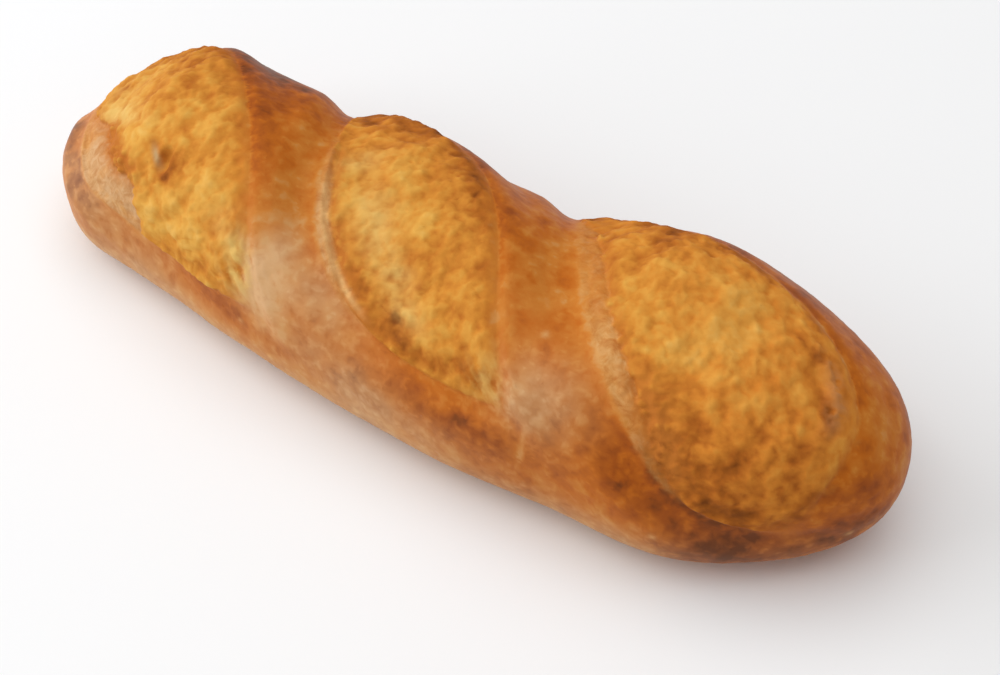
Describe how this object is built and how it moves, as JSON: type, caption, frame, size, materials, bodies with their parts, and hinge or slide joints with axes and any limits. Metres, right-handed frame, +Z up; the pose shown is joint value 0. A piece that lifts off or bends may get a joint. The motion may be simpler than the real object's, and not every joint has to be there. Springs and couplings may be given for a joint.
{
  "type": "long white loaf",
  "caption": "Long white hearth loaf with a smooth golden crust and diagonal slashes that burst open to a rough torn crumb, lying on a flat base.",
  "frame": {"origin": "centre of the bounding box's footprint, on the surface the loaf rests on", "axes": "+X along the loaf towards its wider end, +Y across it towards the side where the slashes start, +Z up"},
  "size_m": [0.3204, 0.1056, 0.0756],
  "materials": {
    "crust": "baked crust, satin on the smooth bands and matte on the torn crumb"
  },
  "bodies": {
    "root": {"loaf": "crust"}
  },
  "joints": []
}
